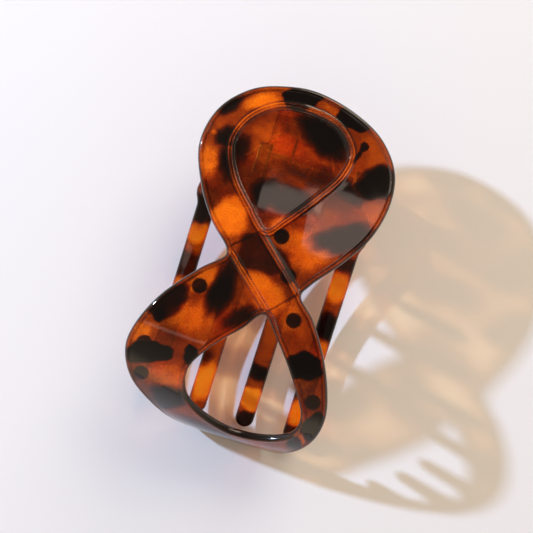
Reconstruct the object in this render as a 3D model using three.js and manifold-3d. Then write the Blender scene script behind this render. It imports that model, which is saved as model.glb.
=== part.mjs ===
// A claw clip for hair: a moulded figure-eight shell with grip pegs, hinged on a steel pin to a
// four-tine comb with a thumb pad, and held shut by a steel torsion spring.
// Millimetres. +X runs across the clip along the hinge, +Y towards the end that is pressed, +Z up.
import * as THREE from "three";
import { mergeVertices } from "three/addons/utils/BufferGeometryUtils.js";
import Module from "manifold-3d";

const wasm = await Module();
wasm.setup();

// ---- Driving dimensions ----
const GAP = 0.3; // left between pieces that touch

// The shell's outer face along its middle line: a curl from the front rim up to the crest,
// then a long gentle fall to the pressed end.
const RIM_Y = -50.6;
const CREST_Y = -17;
const CREST_Z = 34;
const PRESSED_END_Y = 50.4;
const FALL_TO_END = 7;
const FALL_POWER = 1.2;
const CURL_POWER = 2.4; // 2 would be an ellipse; more is squarer
const SHELL_THICK = 2.2;
const SIDE_DROOP = 3; // how far the sides drop below the middle line, HALF_WIDTH away from it
const FRONT_LEAN = 6; // the curl's own middle line lies this far to the right at the rim
const HALF_WIDTH = 30;

// The recessed panel that closes the upper loop.
const PANEL_TOP = -1.4;
const PANEL_THICK = 1.6;

// Grip pegs under the shell.
const PEG_ROOT_R = 2;
const PEG_TIP_R = 1.45;
const PEG_TIP_BLUNT = 0.7; // radius of the tip's flat, as a share of the tip's
const PEG_TIP_HEIGHTS = [0.3, 1.2]; // where the flat's bevel and the tip's bevel end
const PEG_OVERRUN = 5; // drawn this far into the shell before the shell cuts it
const PEG_LENGTH = 9;
const FRONT_PEG_LENGTH = 6.5;
const FRONT_PEG_Y = -44; // pegs further forward than this are the short ones
const MIDDLE_PEG = [2, 9.3];
// Pairs down the two ribbons: y and x on the left, y and x on the right.
const PEG_PAIRS = [
  [0.2, -5.7, -0.5, 7],
  [-10.3, -15.4, -11.7, 12],
  [-20.5, -23.6, -22.1, 19.2],
  [-29.8, -25.3, -31.6, 23.8],
  [-38.2, -23.7, -38.4, 25.1],
  [-44.5, -15.4, -44.4, 22.8],
];

// The hinge.
const HINGE_Y = 28;
const HINGE_Z = 17;
const PIN_R = 0.7;
const PIN_HOLE_R = 0.8;
const LUG_R = 4;
const COMB_LUG_R = 3.4;
const LUG_REACH = { up: 18, down: 9 }; // drawn this far from the pin before a jaw cuts it
const SHELL_LUGS = { left: [-11.4, -7.6], right: [16.6, 20.4] };
const COMB_LUGS = { left: [-7.2, -2.6], right: [13.4, 16.3] };

// The comb.
const COMB_THICK = 2.4;
const COMB_MIDDLE_X = 0.4;
const TINE_PITCH = 14.3;
const TINE_WIDTH = 5.3;
const TINE_CHAMFER = 0.6;
const TINE_BLUNT = 0.4; // width of the very tip, as a share of the whole
const TINE_ROWS = 14;
const TINE_ROW_POWER = 1.7; // above 1 sets the rows closer together towards the tip
const TINE_TIP_Y = -45.4;
const TINE_ROOT_Y = 14;
const NOTCH_DEPTH = 3.4; // of the arch between two tines
const COMB_BACK_Y = 33.2;
const SHOULDER_HALF_WIDTH = 14; // of the body, just before it narrows to the thumb pad
const SHOULDER_LENGTH = 4;
const PAD_HALF_WIDTH = 10;
const PAD_LENGTH = 15.5;
const PAD_CORNER = 4;
const PAD_BEVEL = 0.4;

// The torsion spring.
const WIRE_R = 0.43;
const COIL_R = 2.55;
const COIL_X = [-1.8, 12.5];
const COIL_TURNS = 15;
const LEG_LENGTH = 12;
const SHELL_LEG_RISE = 28; // degrees
const COMB_LEG_FALL = 32;
const COMB_LEG_INWARD = 0.36; // sideways run of the comb leg for each unit forward
const COMB_LEG_STRETCH = 1.15; // the comb's leg is this much longer than the shell's

// Sizes of the cells that bent plates are built from.
const SHELL_CELL = 4.2;
const PANEL_CELL = 5;
const COMB_CELL = 4.5;
const CUTTER_CELL = { shell: 3, comb: 4 };
const CUTTER_HEIGHT = { shell: 14, comb: 12 };
const CUTTER_REACH = { peg: 9, lug: 12 }; // half-width of the piece of shell that trims one peg or lug

// ---- Materials ----
const plastic = (colour) => new THREE.MeshStandardMaterial({ color: colour, roughness: 0.12, metalness: 0 });
const steel = (colour, roughness) => new THREE.MeshStandardMaterial({ color: colour, roughness, metalness: 1 });
const AMBER = 0xb4520c;
const DARK_AMBER = 0x7c2f0a;
const BROWN = 0x4a1a0b;

// ---- Solids from geometry, and back ----
function solid(geometry) {
  const bare = geometry.index ? geometry.toNonIndexed() : geometry.clone();
  bare.deleteAttribute("normal");
  bare.deleteAttribute("uv");
  const merged = mergeVertices(bare, 1e-4);
  return closed(merged.attributes.position.array, new Uint32Array(merged.index.array));
}

function closed(vertProperties, triVerts) {
  return new wasm.Manifold(new wasm.Mesh({ numProp: 3, vertProperties, triVerts }));
}

function geometryOf(body) {
  const mesh = body.getMesh();
  const geometry = new THREE.BufferGeometry();
  geometry.setAttribute("position", new THREE.BufferAttribute(mesh.vertProperties, 3));
  geometry.setIndex(new THREE.BufferAttribute(mesh.triVerts, 1));
  const faceted = geometry.toNonIndexed();
  faceted.computeVertexNormals();
  return faceted;
}

const clip = new THREE.Group();

function addPiece(name, body, material) {
  const piece = new THREE.Mesh(body.isBufferGeometry ? body : geometryOf(body), material);
  piece.name = name;
  clip.add(piece);
}

// ---- The two profiles ----
class ShellProfile extends THREE.Curve {
  getPoint(t) {
    if (t < 0.5) {
      const angle = (0.5 - t) * Math.PI;
      const power = 2 / CURL_POWER;
      const y = CREST_Y + (RIM_Y - CREST_Y) * Math.sin(angle) ** power;
      return new THREE.Vector3(0, y, CREST_Z * Math.max(Math.cos(angle), 0) ** power);
    }
    const along = 2 * t - 1;
    const y = THREE.MathUtils.lerp(CREST_Y, PRESSED_END_Y, along);
    return new THREE.Vector3(0, y, CREST_Z - FALL_TO_END * along ** FALL_POWER);
  }
}

const shellProfile = new ShellProfile();
shellProfile.arcLengthDivisions = 800;

const combProfile = new THREE.CatmullRomCurve3(
  [
    [-50, 6.4],
    [-32, 4.4],
    [-16, 5.2],
    [0, 7.6],
    [14, 10.8],
    [25, 12.2],
    [COMB_BACK_Y + 0.6, 9.5],
  ].map(([y, z]) => new THREE.Vector3(0, y, z)),
);

// A point on a profile at a distance along it, run on in a straight line past both ends.
function station(profile, along) {
  const length = profile.getLength();
  const share = THREE.MathUtils.clamp(along / length, 0, 1);
  const tangent = profile.getTangentAt(share);
  const point = profile.getPointAt(share).addScaledVector(tangent, along - share * length);
  const normal = new THREE.Vector3(0, -tangent.z, tangent.y);
  return { point, tangent, normal };
}

// The distance along a profile at which place() lands on y, by halving.
function alongAt(place, profile, x, y) {
  const halvings = 40;
  let low = 0;
  let high = profile.getLength() + 2;
  for (let i = 0; i < halvings; i++) {
    const middle = (low + high) / 2;
    if (place(x, middle, 0).y < y) low = middle;
    else high = middle;
  }
  return low;
}

function placeOnShell(x, along, height) {
  const { point, normal } = station(shellProfile, along);
  const lean = FRONT_LEAN * (1 - THREE.MathUtils.smoothstep(along, 0, shellProfile.getLength() / 2));
  const droop = SIDE_DROOP * ((x - lean) / HALF_WIDTH) ** 2;
  point.addScaledVector(normal, height - droop);
  point.x = x;
  return point;
}

function placeOnComb(x, along, height) {
  const { point, normal } = station(combProfile, along);
  point.addScaledVector(normal, height);
  point.x = x;
  return point;
}

// ---- Plates bent over a profile ----
const bulge = (x, along) => 0.001 * (x * x + along * along); // keeps the flat grid's cells apart while it is cut

// A grid of cells bent over a profile: the block between two heights above the face.
function bentGrid(place, box, low, high, cell, bend) {
  const size = box.getSize(new THREE.Vector2());
  const centre = box.getCenter(new THREE.Vector2());
  const columns = Math.ceil(size.x / cell);
  const rows = Math.ceil(size.y / cell);
  const grid = new THREE.BoxGeometry(size.x, size.y, high - low, columns, rows, 1);
  grid.translate(centre.x, centre.y, (high + low) / 2);
  const position = grid.attributes.position;
  for (let i = 0; i < position.count; i++) {
    const [x, along, height] = [position.getX(i), position.getY(i), position.getZ(i)];
    if (bend) position.setXYZ(i, ...place(x, along, height));
    else position.setZ(i, height + bulge(x, along));
  }
  return solid(grid);
}

function prism(points) {
  const height = 2 * HALF_WIDTH;
  const upright = new THREE.ExtrudeGeometry(new THREE.Shape(points), { depth: height, bevelEnabled: false });
  upright.translate(0, 0, -height / 3);
  return solid(upright);
}

// A flat outline (x, distance along the profile), less its holes, as a plate between two heights
// of the face, bent into place.
function bentPlate(place, outline, holes, low, high, cell) {
  const box = new THREE.Box2().setFromPoints(outline).expandByScalar(1);
  let flat = bentGrid(place, box, low, high, cell, false).intersect(prism(outline));
  for (const hole of holes) flat = flat.subtract(prism(hole));
  const { vertProperties, triVerts } = flat.getMesh();
  for (let i = 0; i < vertProperties.length; i += 3) {
    const [x, along, height] = vertProperties.slice(i, i + 3);
    vertProperties.set([...place(x, along, height - bulge(x, along))], i);
  }
  return closed(vertProperties, triVerts);
}

// A smooth closed outline through plan points (x, y), laid out flat on the shell's face.
function flatLoop(points, divisions) {
  const laid = points.map(([x, y]) => new THREE.Vector3(x, alongAt(placeOnShell, shellProfile, x, y), 0));
  const loop = new THREE.CatmullRomCurve3(laid, true, "centripetal");
  const spaced = loop.getSpacedPoints(divisions).slice(0, -1);
  return spaced.map((p) => new THREE.Vector2(p.x, Math.max(p.y, 0)));
}

// The same outline moved inwards by a distance.
function inset(points, distance) {
  const turn = THREE.ShapeUtils.area(points) > 0 ? 1 : -1;
  return points.map((point, i) => {
    const before = points[(i + points.length - 1) % points.length];
    const after = points[(i + 1) % points.length];
    const side = after.clone().sub(before).normalize();
    return new THREE.Vector2(point.x - turn * side.y * distance, point.y + turn * side.x * distance);
  });
}

// ---- The shell ----
const SHELL_EDGE = [
  [-0.5, 50.6], [11.5, 48.1], [20.6, 43.4], [26.7, 35.7], [28.1, 27], [25.9, 16.7], [20.4, 7.5],
  [13.6, -1.2], [12, -4.6], [17.1, -10], [22.8, -18.6], [26.9, -27.9], [28.7, -35.5], [27.6, -42.6],
  [22.4, -48.4], [14, -52], [4, -52], [-4.5, -52], [-11.5, -49.3], [-19.6, -45.9], [-26.6, -40.6],
  [-30.2, -32.6], [-29.3, -25.4], [-25, -15.8], [-16.6, -5.3], [-11.2, 0], [-11.6, 1.9], [-17.9, 8.1],
  [-24, 17.4], [-27.6, 27.8], [-25.3, 38.4], [-17.9, 46.2], [-9, 49.6],
];
const LOWER_LOOP_HOLE = [
  [3.8, -12.5], [-0.6, -17.8], [-7.3, -25.4], [-11.6, -33.3], [-9.8, -41], [-3.8, -45.2], [5.5, -47.6],
  [14.3, -46.5], [20.8, -43], [22, -37.2], [16.5, -27.4], [9, -17.7],
];
const UPPER_LOOP_EDGE = [
  [-2.6, 9.6], [-8.8, 14.8], [-15.4, 22.2], [-18.5, 30.4], [-16.3, 37.4], [-9.4, 43.3], [-1, 44.6],
  [8, 42.8], [13.2, 37], [12.5, 30.6], [7.8, 22.6], [1.1, 13.6],
];

const shellEdge = flatLoop(SHELL_EDGE, 110);
const lowerLoop = flatLoop(LOWER_LOOP_HOLE, 52);
const upperLoop = flatLoop(UPPER_LOOP_EDGE, 48);
const shell = bentPlate(placeOnShell, shellEdge, [lowerLoop, upperLoop], -SHELL_THICK, 0, SHELL_CELL);
addPiece("figure_eight_shell", shell, plastic(AMBER));

const panelLow = PANEL_TOP - PANEL_THICK;
const panel = bentPlate(placeOnShell, inset(upperLoop, GAP), [], panelLow, PANEL_TOP, PANEL_CELL);
addPiece("upper_loop_panel", panel, plastic(DARK_AMBER));

// Everything above the shell's inner face, less a gap: what hangs below is cut with it.
function aboveShell(depth, centreX, centreY, reach) {
  const along = alongAt(placeOnShell, shellProfile, centreX, centreY);
  const corner = new THREE.Vector2(reach, reach);
  const centre = new THREE.Vector2(centreX, along);
  const box = new THREE.Box2(centre.clone().sub(corner), centre.clone().add(corner));
  return bentGrid(placeOnShell, box, -depth - GAP, CUTTER_HEIGHT.shell, CUTTER_CELL.shell, true);
}

// ---- Grip pegs ----
function gripPeg(x, y, length) {
  const root = placeOnShell(x, alongAt(placeOnShell, shellProfile, x, y), -SHELL_THICK);
  const low = root.z - length;
  const high = root.z + PEG_OVERRUN;
  const outline = [
    [0, low],
    [PEG_TIP_R * PEG_TIP_BLUNT, low + PEG_TIP_HEIGHTS[0]],
    [PEG_TIP_R, low + PEG_TIP_HEIGHTS[1]],
    [PEG_ROOT_R, high],
    [0, high],
  ].map(([r, z]) => new THREE.Vector2(r, z));
  const turned = new THREE.LatheGeometry(outline, 10);
  turned.rotateX(Math.PI / 2);
  turned.scale(1, -1, 1);
  flipFaces(turned);
  turned.translate(x, y, 0);
  return solid(turned).subtract(aboveShell(SHELL_THICK, x, y, CUTTER_REACH.peg));
}

function flipFaces(geometry) {
  const index = geometry.index;
  for (let i = 0; i < index.count; i += 3) {
    const kept = index.getX(i);
    index.setX(i, index.getX(i + 1));
    index.setX(i + 1, kept);
  }
}

const pegPlaces = [[...MIDDLE_PEG, PEG_LENGTH]];
for (const [leftY, leftX, rightY, rightX] of PEG_PAIRS) {
  const length = leftY < FRONT_PEG_Y ? FRONT_PEG_LENGTH : PEG_LENGTH;
  pegPlaces.push([leftX, leftY, length], [rightX, rightY, length]);
}
pegPlaces.forEach(([x, y, length], i) => {
  addPiece(`grip_peg_${String(i + 1).padStart(2, "0")}`, gripPeg(x, y, length), plastic(BROWN));
});

// ---- Hinge lugs ----
// A shape drawn in (y, z), given its width between two x.
function acrossX(shape, [from, to], curveSegments = 10) {
  const plate = new THREE.ExtrudeGeometry(shape, { depth: to - from, bevelEnabled: false, curveSegments });
  const turn = new THREE.Matrix4().makeBasis(
    new THREE.Vector3(0, 1, 0),
    new THREE.Vector3(0, 0, 1),
    new THREE.Vector3(1, 0, 0),
  );
  plate.applyMatrix4(turn);
  plate.translate(from, 0, 0);
  return plate;
}

// A lug round the pin: upwards (+1) to the shell or downwards (-1) to the comb.
function lugShape(direction, reach, radius) {
  const shape = new THREE.Shape();
  const end = HINGE_Z + direction * reach;
  const [start, stop] = direction > 0 ? [Math.PI, 2 * Math.PI] : [0, Math.PI];
  shape.moveTo(HINGE_Y + direction * radius, end);
  shape.lineTo(HINGE_Y - direction * radius, end);
  shape.absarc(HINGE_Y, HINGE_Z, radius, start, stop, false);
  const hole = new THREE.Path();
  hole.absarc(HINGE_Y, HINGE_Z, PIN_HOLE_R, 0, 2 * Math.PI, true);
  shape.holes.push(hole);
  return shape;
}

// The left lug stands under the panel, the right one under the thick shell.
const shellLugDepth = { left: -panelLow, right: SHELL_THICK };
for (const [side, span] of Object.entries(SHELL_LUGS)) {
  const lug = solid(acrossX(lugShape(1, LUG_REACH.up, LUG_R), span));
  const above = aboveShell(shellLugDepth[side], (span[0] + span[1]) / 2, HINGE_Y, CUTTER_REACH.lug);
  addPiece(`shell_hinge_lug_${side}`, lug.subtract(above), plastic(DARK_AMBER));
}

const combLength = combProfile.getLength();
const combBox = new THREE.Box2(
  new THREE.Vector2(-HALF_WIDTH, combLength - HALF_WIDTH),
  new THREE.Vector2(HALF_WIDTH, combLength),
);
const belowComb = bentGrid(placeOnComb, combBox, -CUTTER_HEIGHT.comb, GAP, CUTTER_CELL.comb, true);
for (const [side, span] of Object.entries(COMB_LUGS)) {
  const lug = solid(acrossX(lugShape(-1, LUG_REACH.down, COMB_LUG_R), span));
  addPiece(`comb_hinge_lug_${side}`, lug.subtract(belowComb), plastic(DARK_AMBER));
}

// ---- The comb ----
const alongComb = (y) => alongAt(placeOnComb, combProfile, 0, y);
const tineX = (number) => COMB_MIDDLE_X + (number - 2.5) * TINE_PITCH;

function combShape() {
  const shape = new THREE.Shape();
  const root = alongComb(TINE_ROOT_Y);
  const back = alongComb(COMB_BACK_Y);
  const tineHalf = TINE_WIDTH / 2;
  const outer = 1.5 * TINE_PITCH + tineHalf;
  shape.moveTo(COMB_MIDDLE_X - outer, root);
  for (let number = 1; number <= 4; number++) {
    shape.lineTo(tineX(number) + tineHalf, root);
    if (number < 4) {
      const next = tineX(number + 1) - tineHalf;
      shape.bezierCurveTo(tineX(number) + tineHalf, root + NOTCH_DEPTH, next, root + NOTCH_DEPTH, next, root);
    }
  }
  // Round each corner of the fan, in to the shoulder, then on to the pad.
  const waist = [root + 9, root + 13, back - SHOULDER_LENGTH, back - 1.5];
  const wide = [outer + 1, SHOULDER_HALF_WIDTH + 5, SHOULDER_HALF_WIDTH, PAD_HALF_WIDTH + 0.5];
  const [x1, x2, x3, x4] = wide.map((half) => COMB_MIDDLE_X + half);
  const [x5, x6, x7, x8] = wide.map((half) => COMB_MIDDLE_X - half);
  shape.bezierCurveTo(x1, waist[0], x2, waist[1], x3, waist[2]);
  shape.quadraticCurveTo(x4, waist[3], COMB_MIDDLE_X + PAD_HALF_WIDTH, back);
  shape.lineTo(COMB_MIDDLE_X - PAD_HALF_WIDTH, back);
  shape.quadraticCurveTo(x8, waist[3], x7, waist[2]);
  shape.bezierCurveTo(x6, waist[1], x5, waist[0], COMB_MIDDLE_X - outer, root);
  return shape.getPoints(6);
}
addPiece("comb_body", bentPlate(placeOnComb, combShape(), [], -COMB_THICK, 0, COMB_CELL), plastic(AMBER));

// A tine is a box of cells bent over the comb's profile, its long edges chamfered and its tip round.
function tine(x) {
  const half = TINE_WIDTH / 2;
  const tip = alongComb(TINE_TIP_Y);
  const length = alongComb(TINE_ROOT_Y) - GAP - tip;
  const bar = new THREE.BoxGeometry(TINE_WIDTH, length, COMB_THICK, 2, TINE_ROWS, 3);
  const position = bar.attributes.position;
  for (let i = 0; i < position.count; i++) {
    const fromTip = length * (position.getY(i) / length + 0.5) ** TINE_ROW_POWER;
    const short = Math.max(half - fromTip, 0) / half;
    const roundness = Math.max(Math.sqrt(1 - short * short), TINE_BLUNT);
    const height = position.getZ(i);
    const onFace = Math.abs(height) > COMB_THICK * 0.4;
    const reach = roundness * (half - (onFace ? TINE_CHAMFER : 0));
    const across = x + (reach * position.getX(i)) / half;
    position.setXYZ(i, ...placeOnComb(across, tip + fromTip, height - COMB_THICK / 2));
  }
  return solid(bar);
}
for (let number = 1; number <= 4; number++) {
  addPiece(`comb_tine_${number}`, tine(tineX(number)), plastic(number % 2 ? AMBER : DARK_AMBER));
}

// The thumb pad is a flat tongue that slopes down from the back of the comb until its end
// reaches the level of the shell's front rim.
function thumbPad() {
  const rootPoint = placeOnComb(0, alongComb(COMB_BACK_Y) + GAP + 0.2, 0);
  const depth = COMB_THICK - PAD_BEVEL / 2;
  const tilt = Math.asin(rootPoint.z / Math.hypot(PAD_LENGTH, depth)) - Math.atan2(depth, PAD_LENGTH);
  const shape = new THREE.Shape();
  const half = PAD_HALF_WIDTH;
  shape.moveTo(-half, 0);
  shape.lineTo(half, 0);
  shape.lineTo(half, PAD_LENGTH - PAD_CORNER);
  shape.absarc(half - PAD_CORNER, PAD_LENGTH - PAD_CORNER, PAD_CORNER, 0, Math.PI / 2, false);
  shape.absarc(-half + PAD_CORNER, PAD_LENGTH - PAD_CORNER, PAD_CORNER, Math.PI / 2, Math.PI, false);
  const pad = new THREE.ExtrudeGeometry(shape, {
    depth: COMB_THICK - 2 * PAD_BEVEL,
    bevelThickness: PAD_BEVEL,
    bevelSize: PAD_BEVEL,
    bevelOffset: -PAD_BEVEL,
    bevelSegments: 1,
    curveSegments: 5,
  });
  pad.translate(0, 0, -COMB_THICK + PAD_BEVEL);
  pad.rotateX(-tilt);
  pad.translate(COMB_MIDDLE_X, rootPoint.y, rootPoint.z);
  return solid(pad);
}
addPiece("thumb_pad", thumbPad(), plastic(DARK_AMBER));

// ---- Pin and spring ----
const pinEnds = [SHELL_LUGS.left[0] - 0.2, SHELL_LUGS.right[1] + 0.2];
function hingePin() {
  const length = pinEnds[1] - pinEnds[0];
  const dome = 0.25;
  const outline = [
    [0, 0],
    [PIN_R - dome, 0],
    [PIN_R, dome],
    [PIN_R, length - dome],
    [PIN_R - dome, length],
    [0, length],
  ].map(([r, y]) => new THREE.Vector2(r, y));
  const pin = new THREE.LatheGeometry(outline, 16);
  pin.rotateZ(-Math.PI / 2);
  pin.translate(pinEnds[0], HINGE_Y, HINGE_Z);
  return solid(pin);
}
addPiece("hinge_pin", hingePin(), steel(0xc9c6c2, 0.2));

const START_ANGLE = THREE.MathUtils.degToRad(90 + SHELL_LEG_RISE);
const COIL_ANGLE = THREE.MathUtils.degToRad(180 - SHELL_LEG_RISE - COMB_LEG_FALL + 360 * COIL_TURNS);

class CoilPath extends THREE.Curve {
  getPoint(t) {
    const angle = START_ANGLE + COIL_ANGLE * t;
    const x = THREE.MathUtils.lerp(COIL_X[0], COIL_X[1], t);
    return new THREE.Vector3(x, HINGE_Y + COIL_R * Math.cos(angle), HINGE_Z + COIL_R * Math.sin(angle));
  }
}

function torsionSpring() {
  const coil = new CoilPath();
  const rise = THREE.MathUtils.degToRad(SHELL_LEG_RISE);
  const fall = THREE.MathUtils.degToRad(COMB_LEG_FALL);
  const shellLeg = new THREE.Vector3(0, Math.cos(rise), Math.sin(rise)).multiplyScalar(LEG_LENGTH);
  const combLeg = new THREE.Vector3(-COMB_LEG_INWARD, Math.cos(fall), -Math.sin(fall));
  combLeg.multiplyScalar(LEG_LENGTH * COMB_LEG_STRETCH);
  const start = coil.getPoint(0);
  const end = coil.getPoint(1);
  const wire = new THREE.CurvePath();
  wire.add(new THREE.LineCurve3(start.clone().add(shellLeg), start));
  wire.add(coil);
  wire.add(new THREE.LineCurve3(end, end.clone().add(combLeg)));
  const section = new THREE.Shape();
  section.absarc(0, 0, WIRE_R, 0, 2 * Math.PI, false);
  const round = new THREE.Shape(section.getPoints(3).slice(0, -1));
  return solid(new THREE.ExtrudeGeometry(round, { steps: 176, extrudePath: wire }));
}
addPiece("torsion_spring", torsionSpring(), steel(0xb9b4ad, 0.3));

// The origin is the bottom centre of the whole clip's box.
const bounds = new THREE.Box3().setFromObject(clip);
const middle = bounds.getCenter(new THREE.Vector3());
clip.position.set(-middle.x, -middle.y, -bounds.min.z);

export default clip;
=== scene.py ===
"""Looks for a moulded tortoiseshell claw clip: two polished jaws, a steel pin and a torsion spring."""

import math

import bpy
import numpy as np
from mathutils import Matrix, Vector


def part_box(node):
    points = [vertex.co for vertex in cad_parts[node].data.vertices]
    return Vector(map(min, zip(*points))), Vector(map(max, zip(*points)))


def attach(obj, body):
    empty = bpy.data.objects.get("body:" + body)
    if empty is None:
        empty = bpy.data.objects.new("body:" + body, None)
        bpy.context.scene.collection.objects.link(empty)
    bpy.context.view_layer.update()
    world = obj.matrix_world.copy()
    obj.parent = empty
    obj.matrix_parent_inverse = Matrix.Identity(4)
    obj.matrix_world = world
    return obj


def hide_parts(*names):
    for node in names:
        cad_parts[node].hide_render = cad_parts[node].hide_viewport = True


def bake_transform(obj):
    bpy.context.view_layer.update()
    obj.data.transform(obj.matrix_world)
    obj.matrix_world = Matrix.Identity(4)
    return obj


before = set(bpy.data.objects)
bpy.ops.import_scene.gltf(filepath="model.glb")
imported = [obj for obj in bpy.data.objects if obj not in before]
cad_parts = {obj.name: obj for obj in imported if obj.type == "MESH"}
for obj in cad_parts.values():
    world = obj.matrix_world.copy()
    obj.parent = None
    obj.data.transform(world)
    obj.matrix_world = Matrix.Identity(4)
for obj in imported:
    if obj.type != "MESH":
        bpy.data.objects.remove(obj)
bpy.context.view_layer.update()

bl_info = {
    "name": "Claw clip",
    "version": (1, 0, 0),
    "blender": (4, 5, 0),
    "location": "View3D > Sidebar > Claw clip",
    "description": "Builds a moulded tortoiseshell claw clip round its packed frame",
    "category": "Add Mesh",
}

MM = 0.001

# ---- Sizes that the two jaws share with the frame, in millimetres ----
RIM_Y = -50.6
CREST_Y = -17.0
CREST_Z = 34.0
PRESSED_END_Y = 50.4
FALL_TO_END = 7.0
FALL_POWER = 1.2
CURL_POWER = 2.4
SIDE_DROOP = 3.0
FRONT_LEAN = 6.0
HALF_WIDTH = 30.0
SHELL_THICK = 2.2
PANEL_TOP = -1.4
PANEL_LOW = -3.0
COMB_THICK = 2.4
COMB_MIDDLE_X = 0.4
TINES = 4
TINE_PITCH = 14.3
TINE_WIDTH = 5.3
TINE_TIP_Y = -45.4
TINE_ROOT_Y = 14.0
COMB_BACK_Y = 33.2
PAD_HALF_WIDTH = 10.0
PAD_LENGTH = 15.5
PAD_CORNER = 4.0
PAD_FALL = 29.6
HINGE_Y = 28.0
HINGE_Z = 17.0
SHELL_LUG_R = 4.0
COMB_LUG_R = 3.4
PIN_HOLE_R = 0.8
WIRE_R = 0.43
COIL_R = 2.55
COIL_X = (-1.8, 12.5)
COIL_TURNS = 15
LEG_LENGTH = 12.0
SHELL_LEG_RISE = 28.0
COMB_LEG_FALL = 32.0
COMB_LEG_INWARD = 0.36
COMB_LEG_STRETCH = 1.15
PIN_START_X = -11.6

# ---- Sizes of the finish, in millimetres ----
# How far each side view is rounded, and how far each jaw's edge swells out between its two faces.
SHELL_EASE = 1.6
COMB_EASE = 0.8
SHELL_SWELL = 0.6
COMB_SWELL = 0.7
LUG_SWELL = 0.35
LUG_CELL = 0.35
LUG_LAP = 0.2
# Where the raised ridges run: inside an edge, and on the near side of the loop's edge or a crossing line.
EDGE_RIDGE = 0.85
EDGE_RIDGE_WIDTH = 0.3
EDGE_ROUND = (0.2, 0.6)
LOOP_RIDGES = (-0.28, -1.05)
CROSSING_RIDGES = (-0.26, -1.06)
RIDGE_WIDTH = 0.26
STEP_FADE = 9
TINE_FILLET = 4.0
PAD_FILLET = 2.0
COMB_CROWN = (0.3, 1.2)
RIB_PITCH = 2.4
RIB_DEPTH = 0.25
PEG_TIP_R = 1.42
PEG_TAPER = 0.5
PEG_FLARE = 0.35
PEG_DOME = 1.35
PEG_ROOT_LAP = 0.25
PEG_LEAST_HEIGHT = 1.6
PIN_DOME = 0.3
# The stretch of the coil that twists: how far its ends are from the coil's own, to the right.
TWIST_INSET = (0.5, -4.9)

# The outlines are drawn about the clip's own middle line; the frame stands a little to the right of it.
SHIFT_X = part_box("hinge_pin")[0].x / MM - PIN_START_X

SHELL_EDGE = [
    (-0.5, 50.6), (11.5, 48.1), (20.6, 43.4), (26.7, 35.7), (28.1, 27), (25.9, 16.7), (20.4, 7.5),
    (13.6, -1.2), (12, -4.6), (17.1, -10), (22.8, -18.6), (26.9, -27.9), (28.7, -35.5), (27.6, -42.6),
    (22.4, -48.4), (14, -52), (4, -52), (-4.5, -52), (-11.5, -49.3), (-19.6, -45.9), (-26.6, -40.6),
    (-30.2, -32.6), (-29.3, -25.4), (-25, -15.8), (-16.6, -5.3), (-11.2, 0), (-11.6, 1.9), (-17.9, 8.1),
    (-24, 17.4), (-27.6, 27.8), (-25.3, 38.4), (-17.9, 46.2), (-9, 49.6),
]
LOWER_LOOP_HOLE = [
    (3.8, -12.5), (-0.6, -17.8), (-7.3, -25.4), (-11.6, -33.3), (-9.8, -41), (-3.8, -45.2), (5.5, -47.6),
    (14.3, -46.5), (20.8, -43), (22, -37.2), (16.5, -27.4), (9, -17.7),
]
UPPER_LOOP_EDGE = [
    (-2.6, 9.6), (-8.8, 14.8), (-15.4, 22.2), (-18.5, 30.4), (-16.3, 37.4), (-9.4, 43.3), (-1, 44.6),
    (8, 42.8), (13.2, 37), (12.5, 30.6), (7.8, 22.6), (1.1, 13.6),
]
# Where the upper ribbon crosses over the lower one: its right edge and its left edge.
CROSSING_RIGHT = ((-2.9, 8.8), (11.1, -3.9))
CROSSING_LEFT = ((-10.3, 0.5), (3.6, -11.8))
# The lower ribbon's two edges where they run on, hidden, beneath the upper one.
HIDDEN_EDGES = (((-4.3, 8.6), (-10.4, 2.9)), ((11.6, -3.7), (4, -12)))
COMB_LINE = [(-50, 6.4), (-32, 4.4), (-16, 5.2), (0, 7.6), (14, 10.8), (25, 12.2), (33.8, 9.5)]

MIDDLE_PEG = (2, 9.3)
PEG_PAIRS = [
    (0.2, -5.7, -0.5, 7),
    (-10.3, -15.4, -11.7, 12),
    (-20.5, -23.6, -22.1, 19.2),
    (-29.8, -25.3, -31.6, 23.8),
    (-38.2, -23.7, -38.4, 25.1),
    (-44.5, -15.4, -44.4, 22.8),
]
PEG_ROOT_R = 1.95
# How brown each peg is, in the order they are numbered.
PEG_DEPTH = (0.75, 0.5, 0.75, 0.8, 0.75, 0.8, 0.8, 0.5, 0.5, 0.6, 0.7, 0.7, 0.7)

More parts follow.
